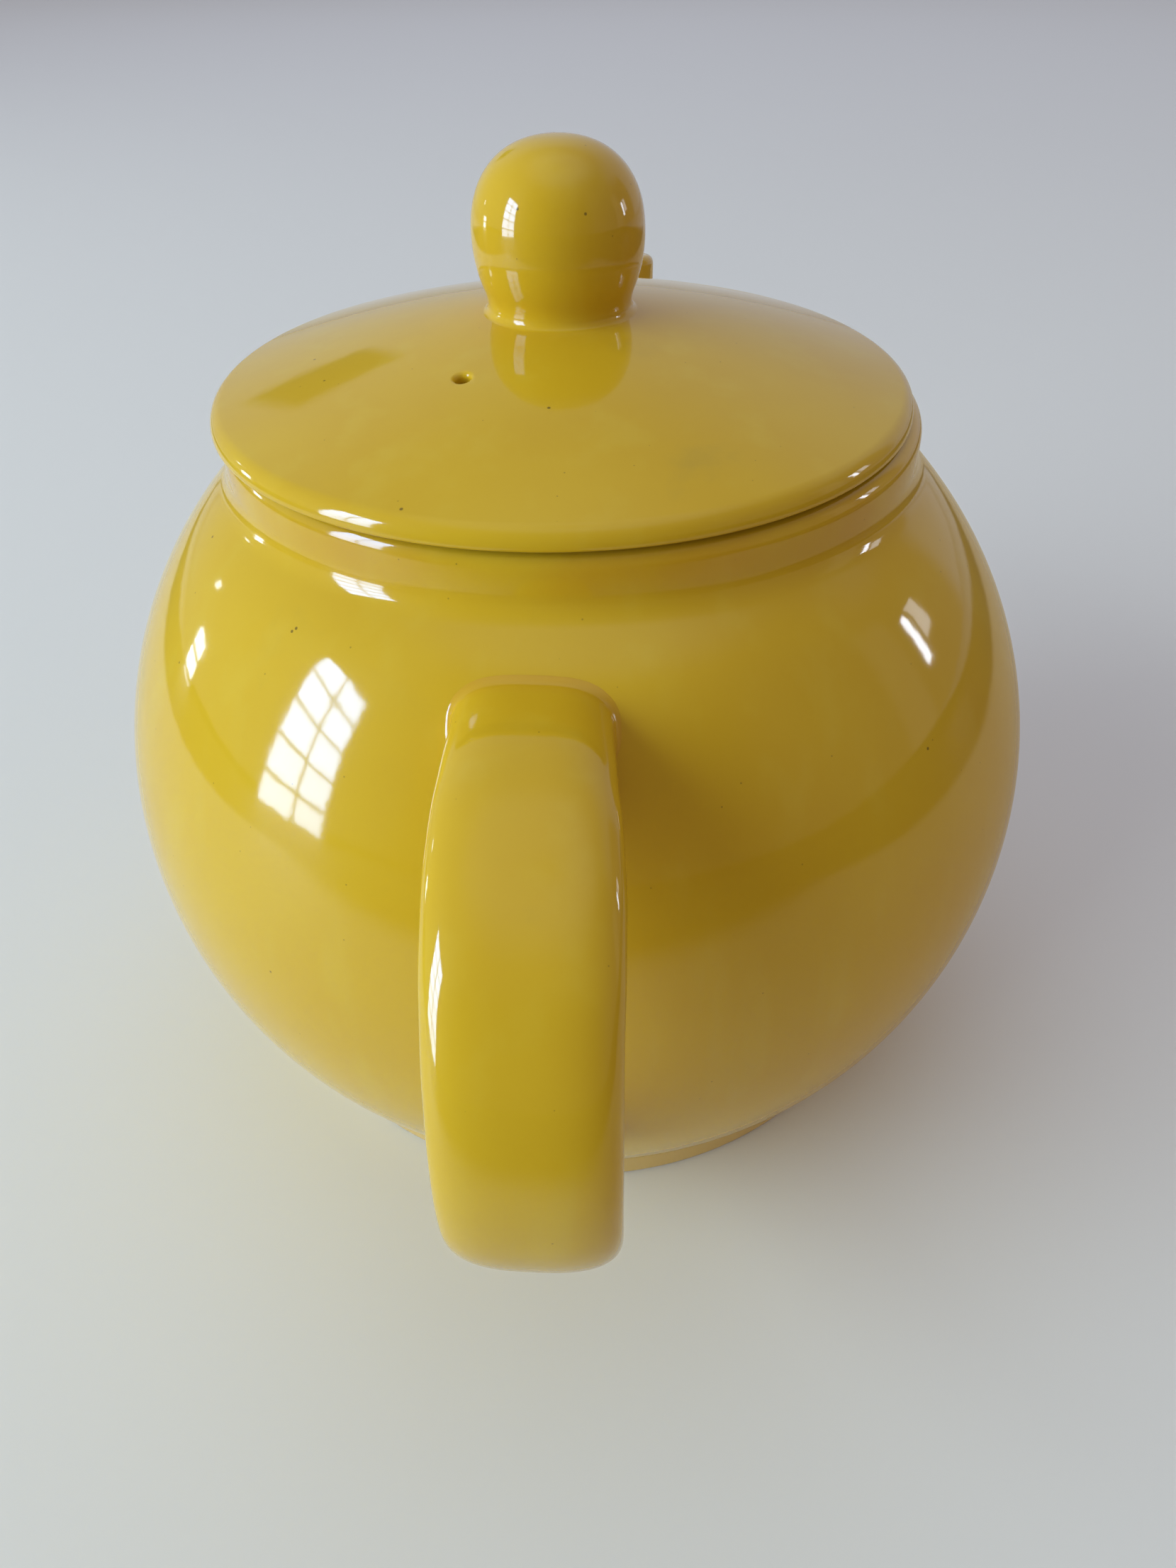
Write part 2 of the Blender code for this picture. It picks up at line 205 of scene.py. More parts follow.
def pot_outline():
    """Outline of the pot, from the middle of its floor over the rim to its underside."""
    low_angle, floor_centre, low_normal = fillet_on_ball(
        -FLOOR_FILLET, FLOOR_HEIGHT + FLOOR_FILLET, 1, -WALL, -1.5, 0.0)
    mouth_angle = acos(MOUTH_RADIUS / (BODY_RADIUS - WALL))
    outline = [(0.0, FLOOR_HEIGHT)]
    outline += [(floor_centre[0] * i / 4, FLOOR_HEIGHT) for i in range(1, 4)]
    outline += arc(floor_centre, FLOOR_FILLET, -pi / 2, -acos(low_normal[0]), 12)
    outline += ball_stretch(low_angle, mouth_angle, 40, -WALL)
    mouth_centre = (MOUTH_RADIUS + MOUTH_ROUND, RIM_HEIGHT - MOUTH_ROUND)
    outline += arc(mouth_centre, MOUTH_ROUND, pi, pi / 2, 8)
    outline += arc((NECK_RADIUS - RIM_ROUND, RIM_HEIGHT - RIM_ROUND), RIM_ROUND, pi / 2, 0, 12)
    neck_angle, neck_centre, neck_normal = fillet_on_ball(NECK_FILLET, NECK_RADIUS + NECK_FILLET, 0)
    outline += arc(neck_centre, NECK_FILLET, pi, pi + acos(neck_normal[0]), 14)
    foot_angle, foot_centre, foot_normal = fillet_on_ball(
        FOOT_CREASE, FOOT_RADIUS + FOOT_CREASE, 0, 0.0, -1.2, -0.1)
    outline += ball_stretch(neck_angle, foot_angle, 90)
    outline += arc(foot_centre, FOOT_CREASE, pi - acos(foot_normal[0]), pi, 6)[1:]
    outline += arc((FOOT_RADIUS - FOOT_ROUND, FOOT_ROUND), FOOT_ROUND, 0, -pi / 2, 7)
    ring_inside = FOOT_RADIUS - FOOT_WIDTH
    outline += arc((ring_inside + FOOT_ROUND, FOOT_ROUND), FOOT_ROUND, -pi / 2, -pi, 6)
    outline += arc((ring_inside - FOOT_ROUND, FOOT_RECESS - FOOT_ROUND), FOOT_ROUND, 0, pi / 2, 6)
    outline += [(ring_inside * (3 - i) / 4, FOOT_RECESS) for i in range(4)]
    return outline


def lid_top(radius):
    """Height of the lid's dome at a distance from its axis, out to its rounded edge."""
    shoulder_r = LID_RADIUS - LID_EDGE_ROUND * (1 - cos(LID_TURN))
    shoulder_z = RIM_HEIGHT + SEAT_GAP + LID_EDGE_HEIGHT + LID_EDGE_ROUND * sin(LID_TURN)
    crown = shoulder_r / (tan(LID_TURN) * LID_SLOPE)
    return shoulder_z + crown * (1 - (radius / shoulder_r) ** LID_SLOPE)


def lid_outline():
    """Outline of the lid, from its crown over its edge to the middle of its underside."""
    seat = RIM_HEIGHT + SEAT_GAP
    under = LID_EDGE_UNDER_ROUND
    flange_inside = FLANGE_RADIUS - FLANGE_WIDTH
    flange_low = seat - FLANGE_DEPTH
    lip = FLANGE_WIDTH / 3
    edge_centre = (LID_RADIUS - LID_EDGE_ROUND, seat + LID_EDGE_HEIGHT)
    shoulder_r = edge_centre[0] + LID_EDGE_ROUND * cos(LID_TURN)
    reaches = [shoulder_r * sin(pi / 2 * i / 70) for i in range(70)]
    outline = [(reach, lid_top(reach)) for reach in reaches]
    outline += arc(edge_centre, LID_EDGE_ROUND, LID_TURN, 0, 16)
    outline += arc((LID_RADIUS - under, seat + under), under, 0, -pi / 2, 6)[1:]
    outline += arc((FLANGE_RADIUS + under, seat - under), under, pi / 2, pi, 5)
    outline += arc((FLANGE_RADIUS - lip, flange_low + lip), lip, 0, -pi / 2, 7)
    outline += arc((flange_inside + lip, flange_low + lip), lip, -pi / 2, -pi, 7)
    reaches = [flange_inside * (1 - i / 24) for i in range(25)]
    outline += [(reach, lid_top(reach) - LID_THICKNESS) for reach in reaches]
    return outline


def knob_radius_at(height):
    """Radius of the knob's ball at a height."""
    if height > KNOB_CENTRE:
        share = (height - KNOB_CENTRE) / (KNOB_TOP - KNOB_CENTRE)
        return KNOB_RADIUS * max(0.0, 1 - share ** KNOB_SQUARENESS) ** (1 / KNOB_SQUARENESS)
    return KNOB_RADIUS * sqrt(1 - ((KNOB_CENTRE - height) / KNOB_DROP) ** 2)


def knob_outline():
    """Outline of the knob, from its top down its hollow neck, which runs out onto the lid."""
    outline = [(0.0, KNOB_TOP)]
    for i in range(1, 40):
        height = KNOB_CENTRE + (KNOB_TOP - KNOB_CENTRE) * cos(i / 39 * pi / 2)
        outline.append((knob_radius_at(height), height))
    for i in range(1, 17):
        height = KNOB_CENTRE + (KNOB_NECK_HEIGHT - KNOB_CENTRE) * i / 16
        outline.append((knob_radius_at(height), height))
    start = Vector(outline[-1])
    run = (start - Vector(outline[-2])).normalized()
    foot = Vector((KNOB_FOOT_RADIUS, lid_top(KNOB_FOOT_RADIUS) - SUNK))
    lid_run = (Vector((foot.x - MM, lid_top(foot.x - MM) - SUNK)) - foot).normalized()
    reach = (foot - start).length
    first, second = start + run * reach * 0.55, foot + lid_run * reach * 0.45
    outline += [tuple(p)[:2] for p in interpolate_bezier(start, first, second, foot, 16)[1:]]
    outline.append((0.0, foot.y - SUNK))
    return outline


# ---------------------------------------------------------------- building

def link_mesh(name, points, edges, faces):
    mesh = bpy.data.meshes.new(name)
    mesh.from_pydata(points, edges, faces)
    obj = bpy.data.objects.new(name, mesh)
    bpy.context.scene.collection.objects.link(obj)
    return obj


def turned(name, outline, steps=TURN_STEPS):
    """Solid of revolution about Z from an outline that runs down its outer side."""
    points = [(r, 0.0, z) for r, z in outline]
    obj = link_mesh(name, points, [(i, i + 1) for i in range(len(points) - 1)], [])
    screw = obj.modifiers.new("turn", "SCREW")
    screw.axis = "Z"
    screw.steps = steps
    screw.render_steps = steps
    screw.use_merge_vertices = True
    screw.merge_threshold = WELD
    screw.use_smooth_shade = True
    return obj


def apply_modifiers(obj):
    """Bakes the modifiers into the mesh."""
    graph = bpy.context.evaluated_depsgraph_get()
    mesh = bpy.data.meshes.new_from_object(obj.evaluated_get(graph))
    obj.modifiers.clear()
    obj.data = mesh
    obj.data.name = obj.name
    return obj


def cut_out(obj, cutter):
    """Cuts one object's shape out of another and removes the cutter."""
    boolean = obj.modifiers.new("cut", "BOOLEAN")
    boolean.operation = "DIFFERENCE"
    boolean.solver = "EXACT"
    boolean.object = cutter
    apply_modifiers(obj)
    bpy.data.objects.remove(cutter, do_unlink=True)


def smooth(obj, angle=40):
    obj.data.shade_smooth()
    obj.data.set_sharp_from_angle(angle=radians(angle))


def along_knots(values):
    """Values given at the knots of a centre line, run smoothly along it."""
    fine = np.linspace(0, len(values) - 1, (len(values) - 1) * KNOT_STEPS + 1)
    whole = np.minimum(fine.astype(int), len(values) - 2)
    part = fine - whole
    values = np.array(values, dtype=float)
    slope = np.gradient(values)
    start = values[whole] + part * slope[whole]
    end = values[whole + 1] - (1 - part) * slope[whole + 1]
    eased = part * part * (3 - 2 * part)
    return start * (1 - eased) + end * eased


def centre_line(line):
    """Smooth path through the points of a centre line."""
    data = bpy.data.curves.new("guide", "CURVE")
    data.dimensions = "3D"
    spline = data.splines.new("BEZIER")
    spline.bezier_points.add(len(line) - 1)
    for point, (x, z) in zip(spline.bezier_points, line):
        point.co = (x, 0.0, z)
        point.handle_left_type = "AUTO"
        point.handle_right_type = "AUTO"
    guide = bpy.data.objects.new("guide", data)
    bpy.context.scene.collection.objects.link(guide)
    bpy.context.view_layer.update()
    places = []
    knots = list(spline.bezier_points)
    for here, there in zip(knots, knots[1:]):
        stretch = interpolate_bezier(
            here.co, here.handle_right, there.handle_left, there.co, KNOT_STEPS + 1)
        places += [tuple(p) for p in stretch[:-1]]
    places.append(tuple(knots[-1].co))
    bpy.data.objects.remove(guide, do_unlink=True)
    bpy.data.curves.remove(data)
    return np.array(places)


def frames_along(path):
    """Tangent and in-plane normal at each point of a path in the XZ plane."""
    tangent = np.gradient(path, axis=0)
    tangent /= np.linalg.norm(tangent, axis=1)[:, None]
    normal = np.stack([-tangent[:, 2], np.zeros(len(path)), tangent[:, 0]], axis=1)
    return tangent, normal


def rails(path, across, through):
    """Grid of points [along, around]: a section swept on a path.

    The section reaches across along Y and through along the path's normal.
    """
    _, normal = frames_along(path)
    side = np.array([0.0, 1.0, 0.0])
    sideways = across[:, :, None] * side
    return path[:, None, :] + sideways + through[:, :, None] * normal[:, None, :]


def swayed(path, sway):
    """Path moved sideways, for a piece that was stuck on a little out of line."""
    path[:, 1] += along_knots(sway) * MM
    return path


def height_over_ball(points):
    """Distance outside the body's ball, and its outward normal there."""
    rel = points - np.array([0.0, 0.0, BODY_CENTRE])
    semi = np.where(rel[..., 2] > 0, BODY_RISE, BODY_DROP)
    level_semi = np.full_like(semi, BODY_RADIUS)
    scale = np.stack([level_semi, level_semi, semi], axis=-1)
    level = np.sqrt(((rel / scale) ** 2).sum(-1))
    slope = rel / scale ** 2 / level[..., None]
    steep = np.linalg.norm(slope, axis=-1)
    return (level - 1) / steep, slope / steep[..., None]


def set_height(points, height):
    """Moves points along the ball's normal until they stand at a height over it."""
    for _ in range(4):
        now, normal = height_over_ball(points)
        points = points + (height - now)[..., None] * normal
    return points


def crossing(grid, heights, level):
    """Position along each rail, from the end inside the body, where it rises past a height."""
    outside = heights > level
    first = outside.argmax(axis=0)
    around = np.arange(grid.shape[1])
    h1 = heights[first, around]
    h0 = heights[first - 1, around]
    return first - 1 + (level - h0) / (h1 - h0)


def along_rails(grid, places):
    """Points of each rail at fractional positions."""
    low = np.clip(np.floor(places).astype(int), 0, grid.shape[0] - 2)
    part = (places - low)[..., None]
    around = np.arange(grid.shape[1])
    return grid[low, around] * (1 - part) + grid[low + 1, around] * part


def stuck_end(grid, fillet, rings=10):
    """Rings of the concave corner where rails leave the body, from its skin up.

    Also returns the positions on the rails at which the corner ends.
    """
    heights, _ = height_over_ball(grid)
    start = crossing(grid, heights, 0.0)
    top = crossing(grid, heights, fillet)
    foot = along_rails(grid, start)
    head = along_rails(grid, top)
    _, normal = height_over_ball(foot)
    around = np.roll(foot, -1, axis=0) - np.roll(foot, 1, axis=0)
    lateral = np.cross(around, normal)
    lateral /= np.linalg.norm(lateral, axis=1)[:, None]
    centre = foot.mean(axis=0)
    outward = np.sign(((foot - centre) * lateral).sum(axis=1).mean())
    made = []
    for i in range(rings):
        turn = pi / 2 * i / rings
        rise = 1 - cos(turn)
        spread = fillet * (1 - sin(turn))
        points = foot + (head - foot) * rise + lateral * outward * spread
        height = fillet * rise - (SUNK if i == 0 else 0.0)
        made.append(set_height(points, np.full(len(points), height)))
    return made, top


def loft(name, rings, close_ends):
    """Mesh of rings joined in order. Its ends are capped, or else joined to each other."""
    count = len(rings[0])
    points = np.concatenate(rings)
    faces = []
    stretches = len(rings) - 1 if close_ends else len(rings)
    for i in range(stretches):
        a = i * count
        b = (i + 1) % len(rings) * count
        for k in range(count):
            after = (k + 1) % count
            faces.append((a + k, a + after, b + after, b + k))
    if close_ends:
        faces.append(tuple(reversed(range(count))))
        faces.append(tuple(range(len(points) - count, len(points))))
    obj = link_mesh(name, [tuple(p) for p in points], [], faces)
    shape = bmesh.new()
    shape.from_mesh(obj.data)
    bmesh.ops.recalc_face_normals(shape, faces=shape.faces)
    shape.to_mesh(obj.data)
    shape.free()
    smooth(obj)
    return obj


def points_of(obj):
    """Places of an object's vertices, one row each."""
    points = np.empty(len(obj.data.vertices) * 3)
    obj.data.vertices.foreach_get("co", points)
    return points.reshape(-1, 3)


def mark(obj, name, values):
    """Point attribute for the piece's material."""
    layer = obj.data.attributes.new(name, "FLOAT", "POINT")
    layer.data.foreach_set("value", np.asarray(values, dtype=np.float32))


def pool_in_corners(obj, depth):
    """Marks where the glaze lies in a corner at the body, fading with height."""
    height, _ = height_over_ball(points_of(obj))
    mark(obj, "pooled", np.clip(1 - height / depth, 0, 1) ** 1.5)


# ---------------------------------------------------------------- materials

# Colours, linear
YELLOW = (0.67, 0.44, 0.022)
DEEP_YELLOW = (0.61, 0.365, 0.014)
PALE_YELLOW = (0.70, 0.52, 0.06)
POOLED_GLAZE = (0.58, 0.28, 0.015)
SMUDGED_GLAZE = (0.22, 0.21, 0.07)
IRON = (0.05, 0.03, 0.012)
CLAY = (0.62, 0.50, 0.36)
# Tea stain and painted shade: darkens the lid's edge so that the gap under it shows as a dark line
STAIN_AND_SHADE_CLAY = (0.06, 0.035, 0.018)
BACKDROP = (0.55, 0.57, 0.62)
FLOOR = (0.79, 0.81, 0.87)
# Floor colours that only the pot sees: a painted shadow towards -Y, and painted shade beyond the
# table's edge
FLOOR_SHADED = (0.66, 0.58, 0.46)
FLOOR_BEYOND_SHADE = (0.10, 0.085, 0.07)

# Patches in the glaze: noise scale, detail, noise from and to, strength
MOTTLE = (26.0, 3.0, 0.36, 0.68, 0.45)
STREAK = (130.0, 4.0, 0.5, 0.75, 0.22)
STREAK_STRETCH = (1.0, 1.0, 0.22)
SMUDGE = (47.0, 6.0, 0.66, 0.78, 0.16)
NECK_POOL = (55.0, 4.0, 0.30, 0.62, 0.40)

# Iron specks, large and small: cell scale, radius, share of the cells, strength
SPECKS = ((230.0, 0.22 * MM, 0.18, 0.7), (520.0, 0.12 * MM, 0.12, 0.4))

# Bumps in the glaze: noise scale, detail, strength, height
RIPPLE = (36.0, 1.0, 0.30, 0.4 * MM)
PEEL = (420.0, 2.0, 0.05, 0.2 * MM)

WEAR = (45.0, 5.0)             # noise scale and detail of the roughness
GLAZE_ROUGHNESS = (0.035, 0.10)
GLAZE_IOR = 1.52
CLAY_ROUGHNESS = 0.65

NECK_POOL_HEIGHTS = (106.5 * MM, 113.5 * MM, 3.0 * MM)     # low, high, soft edge
CORNER_POOL_STRENGTH = 0.45
PALE_FOOT_HEIGHTS = (6.0 * MM, 4.5 * MM)                  # from none to full
PALE_FOOT_SHARE = 0.45        # share of the clay's colour mixed in at the bottom
WIPED_HEIGHTS = (0.40 * MM, 0.25 * MM)

STAIN_AND_SHADE_AT_FLANGE = 0.35         # share of the stain and painted shade on the flange; both are whole at the lid's edge


def link(tree, source, target):
    tree.links.new(source, target)


def node(tree, kind, **settings):
    made = tree.nodes.new(kind)
    for key, value in settings.items():
        if key in made.inputs:
            made.inputs[key].default_value = value
        else:
            setattr(made, key, value)
    return made


def noise(tree, coordinates, scale, detail):
    texture = node(tree, "ShaderNodeTexNoise")
    texture.inputs["Scale"].default_value = scale
    texture.inputs["Detail"].default_value = detail
    link(tree, coordinates, texture.inputs["Vector"])
    return texture.outputs["Fac"]


def ramp(tree, value, low, high):
    """0 below low, 1 above high, smooth between."""
    made = node(tree, "ShaderNodeMapRange")
    made.interpolation_type = "SMOOTHSTEP"
    made.inputs["From Min"].default_value = low
    made.inputs["From Max"].default_value = high
    link(tree, value, made.inputs["Value"])
    return made.outputs["Result"]


def scaled(tree, value, amount):
    made = node(tree, "ShaderNodeMath", operation="MULTIPLY")
    link(tree, value, made.inputs[0])
    made.inputs[1].default_value = amount
    return made.outputs[0]


def multiplied(tree, first, second):
    made = node(tree, "ShaderNodeMath", operation="MULTIPLY")
    link(tree, first, made.inputs[0])
    link(tree, second, made.inputs[1])
    return made.outputs[0]


def inside(tree, value, low, high, soft):
    """1 where a value lies between low and high, with soft edges."""
    rise = ramp(tree, value, low - soft, low + soft)
    fall = ramp(tree, value, high + soft, high - soft)
    return multiplied(tree, rise, fall)


def blend_colour(tree, share, base, other):
    """Colour that goes from base to other by share."""
    made = node(tree, "ShaderNodeMix", data_type="RGBA")
    link(tree, share, made.inputs[0])
    for value, socket in ((base, made.inputs[6]), (other, made.inputs[7])):
        if isinstance(value, tuple):
            socket.default_value = (*value, 1.0)
        else:
            link(tree, value, socket)
    return made.outputs[2]


def specks(tree, place, scale, radius, share):
    """1 in small round dots, in a share of the cells of a scale."""
    cells = node(tree, "ShaderNodeTexVoronoi")
    cells.inputs["Scale"].default_value = scale
    link(tree, place, cells.inputs["Vector"])
    edge = radius * scale
    dot = ramp(tree, cells.outputs["Distance"], edge * 1.25, edge * 0.75)
    chance = node(tree, "ShaderNodeSeparateColor")
    link(tree, cells.outputs["Color"], chance.inputs[0])
    few = node(tree, "ShaderNodeMath", operation="LESS_THAN")
    link(tree, chance.outputs[0], few.inputs[0])
    few.inputs[1].default_value = share
    return multiplied(tree, dot, few.outputs[0])


def patches(tree, place, scale, detail, low, high, strength):
    """Soft irregular patches of a noise, up to a strength."""
    return scaled(tree, ramp(tree, noise(tree, place, scale, detail), low, high), strength)


def bumped(tree, place, scale, detail, strength, height, below=None):
    """Normal of a noise's bumps, laid over another normal."""
    made = node(tree, "ShaderNodeBump")
    made.inputs["Strength"].default_value = strength
    made.inputs["Distance"].default_value = height
    link(tree, noise(tree, place, scale, detail), made.inputs["Height"])
    if below:
        link(tree, below, made.inputs["Normal"])
    return made.outputs["Normal"]


def height_of(tree, place):
    split = node(tree, "ShaderNodeSeparateXYZ")
    link(tree, place, split.inputs[0])
    return split.outputs[2]


def larger(tree, first, second):
    made = node(tree, "ShaderNodeMath", operation="MAXIMUM")
    link(tree, first, made.inputs[0])
    link(tree, second, made.inputs[1])
    return made.outputs[0]


def glaze(name, pool=None, bare=None):
    """Glossy yellow glaze: mottled, faintly smudged, with iron specks and a slow ripple.

    pool gives where it lies thicker, bare where the clay shows through and which clay.
    """
    material = bpy.data.materials.new(name)
    material.use_nodes = True
    tree = material.node_tree
    shader = tree.nodes["Principled BSDF"]
    place = node(tree, "ShaderNodeTexCoord").outputs["Object"]

    surface = blend_colour(tree, patches(tree, place, *MOTTLE), YELLOW, DEEP_YELLOW)
    upright = node(tree, "ShaderNodeVectorMath", operation="MULTIPLY")
    link(tree, place, upright.inputs[0])
    upright.inputs[1].default_value = STREAK_STRETCH
    streak = patches(tree, upright.outputs[0], *STREAK)
    surface = blend_colour(tree, streak, surface, PALE_YELLOW)
    surface = blend_colour(tree, patches(tree, place, *SMUDGE), surface, SMUDGED_GLAZE)
    if pool:
        surface = blend_colour(tree, pool(tree, place), surface, POOLED_GLAZE)
    for scale, radius, share, strength in SPECKS:
        dots = scaled(tree, specks(tree, place, scale, radius, share), strength)
        surface = blend_colour(tree, dots, surface, IRON)

    worn = node(tree, "ShaderNodeMapRange")
    worn.inputs["To Min"].default_value, worn.inputs["To Max"].default_value = GLAZE_ROUGHNESS
    link(tree, noise(tree, place, *WEAR), worn.inputs["Value"])
    roughness = worn.outputs["Result"]
    if bare:
        share, clay = bare(tree, place)
        surface = blend_colour(tree, share, surface, clay)
        matt = scaled(tree, ramp(tree, share, 0.5, 1.0), CLAY_ROUGHNESS)
        roughness = larger(tree, matt, roughness)
    link(tree, surface, shader.inputs["Base Color"])
    link(tree, roughness, shader.inputs["Roughness"])
    shader.inputs["IOR"].default_value = GLAZE_IOR

    ripple = bumped(tree, place, *RIPPLE)
    link(tree, bumped(tree, place, *PEEL, ripple), shader.inputs["Normal"])
    return material


def neck_pool(tree, place):
    """Uneven pool of glaze in the corner under the rim."""
    band = inside(tree, height_of(tree, place), *NECK_POOL_HEIGHTS)
    return multiplied(tree, band, patches(tree, place, *NECK_POOL))


def bare_foot(tree, place):
    """Unglazed clay under the foot ring; above it the body turns paler towards the bottom, part way
    to the clay's colour.
    """
    height = height_of(tree, place)
    paler = scaled(tree, ramp(tree, height, *PALE_FOOT_HEIGHTS), PALE_FOOT_SHARE)
    return larger(tree, paler, ramp(tree, height, *WIPED_HEIGHTS)), CLAY


def seat_stain_and_shade(tree, place):
    """Unglazed clay where the lid sits on the rim, darkened towards the edge by a tea stain and by
    painted shade for the gap under the lid.
    """
    bare = node(tree, "ShaderNodeAttribute", attribute_name="bare").outputs["Fac"]
    stain_and_shade = node(tree, "ShaderNodeAttribute", attribute_name="stain_and_shade").outputs["Fac"]
    return bare, blend_colour(tree, stain_and_shade, CLAY, STAIN_AND_SHADE_CLAY)


def corner_pool(tree, place):
    """Pool of glaze where the piece meets the body."""
    stored = node(tree, "ShaderNodeAttribute", attribute_name="pooled")
    return scaled(tree, stored.outputs["Fac"], CORNER_POOL_STRENGTH)


# ---------------------------------------------------------------- pieces

def finish_piece(obj, material, body, node_name):
    obj.data.materials.clear()
    obj.data.materials.append(material)
    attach(obj, body)
    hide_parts(node_name)


def make_strainer_cutter():
    """One hole in the middle and six around it, along X."""
    shape = bmesh.new()
    places = [(0.0, 0.0)]
    for i in range(6):
        places.append((STRAINER_PITCH * cos(i * pi / 3), STRAINER_PITCH * sin(i * pi / 3)))
    along_x = Matrix.Rotation(pi / 2, 4, "Y")
    for y, z in places:
        centre = Matrix.Translation((BODY_RADIUS - WALL, y, STRAINER_HEIGHT + z))
        bmesh.ops.create_cone(
            shape, cap_ends=True, segments=32, radius1=STRAINER_RADIUS, radius2=STRAINER_RADIUS,
            depth=8 * WALL, matrix=centre @ along_x)
    cutter = link_mesh("strainer_cutter", [], [], [])
    shape.to_mesh(cutter.data)
    shape.free()
    return cutter


def make_pot():
    pot = turned("glazed_body", pot_outline())
    cut_out(pot, make_strainer_cutter())
    lean_rim(pot)
    smooth(pot)
    finish_piece(pot, glaze("body_glaze", neck_pool, bare_foot), "pot", "pot_body")


def make_spout():
    line = [(x * MM, z * MM) for x, z in SPOUT_LINE]
    path = swayed(centre_line(line), SPOUT_SWAY)
    radius = along_knots(SPOUT_RADII) * MM
    turns = np.linspace(0, 2 * pi, SECTION_POINTS, endpoint=False)
    outer = rails(path, radius[:, None] * np.cos(turns), radius[:, None] * np.sin(turns))
    bore = radius - SPOUT_WALL
    inner = rails(path, bore[:, None] * np.cos(turns), bore[:, None] * np.sin(turns))
    rings, top = stuck_end(outer, SPOUT_FILLET)
    last = len(path) - 1
    rings += [along_rails(outer, top + (last - top) * i / 60) for i in range(61)]
    tangent, normal = frames_along(path)
    half_wall = SPOUT_WALL / 2
    for i in range(1, 12):
        turn = pi * i / 12
        around = radius[-1] - half_wall + half_wall * cos(turn)
        centre = path[-1] + tangent[-1] * half_wall * sin(turn)
        across = np.cos(turns)[:, None] * np.array([0.0, 1.0, 0.0])
        through = np.sin(turns)[:, None] * normal[-1]
        rings.append(centre + around * (across + through))
    heights, _ = height_over_ball(inner)
    start = crossing(inner, heights, -SUNK)
    rings += [along_rails(inner, last + (start - last) * i / 40) for i in range(41)]
    spout = loft("glazed_spout", rings, close_ends=False)
    pool_in_corners(spout, SPOUT_POOL)
    finish_piece(spout, glaze("spout_glaze", corner_pool), "pot", "spout")


def make_handle():
    line = [(-x * MM, z * MM) for x, z in HANDLE_LINE]
    path = swayed(centre_line(line), HANDLE_SWAY)
    turns = np.linspace(0, 2 * pi, SECTION_POINTS, endpoint=False) + pi / SECTION_POINTS
    power = 2 / HANDLE_SQUARENESS
    across = HANDLE_WIDTH / 2 * np.abs(np.cos(turns)) ** power * np.sign(np.cos(turns))
    through = HANDLE_THICKNESS / 2 * np.abs(np.sin(turns)) ** power * np.sign(np.sin(turns))
    spread = along_knots(HANDLE_SPREAD)[:, None]
    grid = rails(path, spread * across, np.sqrt(spread) * through)
    top_rings, top = stuck_end(grid, HANDLE_FILLET)
    low_rings, low = stuck_end(grid[::-1], HANDLE_FILLET)
    low = len(path) - 1 - low
    strap = [along_rails(grid, top + (low - top) * i / 140) for i in range(141)]
    rings = top_rings + strap + low_rings[::-1]
    handle = loft("glazed_handle", rings, close_ends=True)
    pool_in_corners(handle, HANDLE_POOL)
    finish_piece(handle, glaze("handle_glaze", corner_pool), "pot", "handle")


def make_vent_cutter():
    """Pin with a trumpet mouth, so that the glaze rolls over into the hole."""
    mouth = VENT_RADIUS + VENT_FLARE
    outline = [(0.0, VENT_FLARE), (mouth, VENT_FLARE)]
    outline += arc((mouth, -VENT_FLARE), VENT_FLARE, pi / 2, pi, 10)
    outline += [(VENT_RADIUS, -3 * LID_THICKNESS), (0.0, -3 * LID_THICKNESS)]
    cutter = turned("vent_cutter", outline, VENT_STEPS)
    slope = atan((lid_top(VENT_REACH - MM) - lid_top(VENT_REACH + MM)) / (2 * MM))
    cutter.matrix_world = (
        Matrix.Rotation(VENT_AZIMUTH, 4, "Z")
        @ Matrix.Translation((VENT_REACH, 0.0, lid_top(VENT_REACH)))
        @ Matrix.Rotation(slope, 4, "Y"))
    return cutter


def seat_on_rim(obj):
    """Lays a piece of the lid on the rim: leaning with it and a little to one side."""
    seat = Matrix.Translation((0.0, 0.0, RIM_HEIGHT))
    lean = seat @ Matrix.Rotation(-RIM_LEAN, 4, "Y") @ seat.inverted()
    obj.data.transform(Matrix.Translation(LID_SHIFT) @ lean)


def lean_rim(obj):
    """Lifts the neck and rim towards the spout and drops them towards the handle."""
    points = points_of(obj)
    share = np.clip((points[:, 2] - LEAN_FROM) / (LEAN_FULL - LEAN_FROM), 0, 1)
    share = share * share * (3 - 2 * share)
    points[:, 2] += tan(RIM_LEAN) * points[:, 0] * share
    obj.data.vertices.foreach_set("co", points.ravel())


def make_lid():
    lid = turned("glazed_lid", lid_outline())
    cutter = make_vent_cutter()
    bpy.context.view_layer.update()
    cut_out(lid, cutter)
    points = points_of(lid)
    reach = np.hypot(points[:, 0], points[:, 1])
    under_seat = RIM_HEIGHT + SEAT_GAP + 0.2 * MM
    mark(lid, "bare", (points[:, 2] < under_seat) & (reach > FLANGE_RADIUS - 0.1 * MM))
    # tea stain and painted shade, whole at the lid's edge where the gap under it shows
    at_edge = reach > FLANGE_RADIUS + 2 * MM
    mark(lid, "stain_and_shade", np.where(at_edge, 1.0, STAIN_AND_SHADE_AT_FLANGE))
    seat_on_rim(lid)
    smooth(lid)
    finish_piece(lid, glaze("lid_glaze", bare=seat_stain_and_shade), "lid", "lid")


def make_knob():
    knob = apply_modifiers(turned("glazed_knob", knob_outline()))
    seat_on_rim(knob)
    smooth(knob)
    finish_piece(knob, glaze("knob_glaze"), "lid", "lid_knob")


